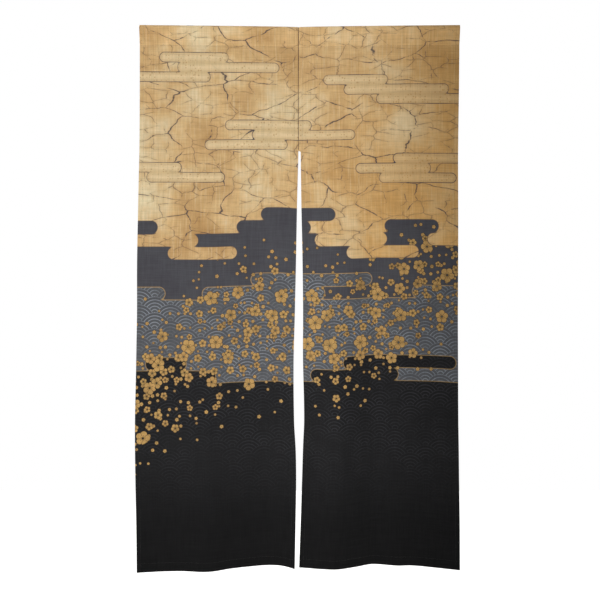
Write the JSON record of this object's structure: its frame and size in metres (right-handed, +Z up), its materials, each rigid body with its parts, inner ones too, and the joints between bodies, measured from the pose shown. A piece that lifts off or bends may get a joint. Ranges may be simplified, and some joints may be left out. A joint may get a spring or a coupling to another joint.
{
  "type": "noren curtain",
  "caption": "Slit doorway curtain of two printed cloths, sewn together above and open below, with a rod pocket along the top.",
  "frame": {"origin": "middle of the top fold, at the seam, where the rod pocket hangs", "axes": "+Z up, the printed face looks along -Y, +X to the right as seen from the front"},
  "size_m": [0.8603, 0.039, 1.45],
  "materials": {
    "printed_cloth": "matt woven cloth, printed gold above and near black below"
  },
  "bodies": {
    "root": {"left_panel": "printed_cloth", "right_panel": "printed_cloth"}
  },
  "joints": []
}
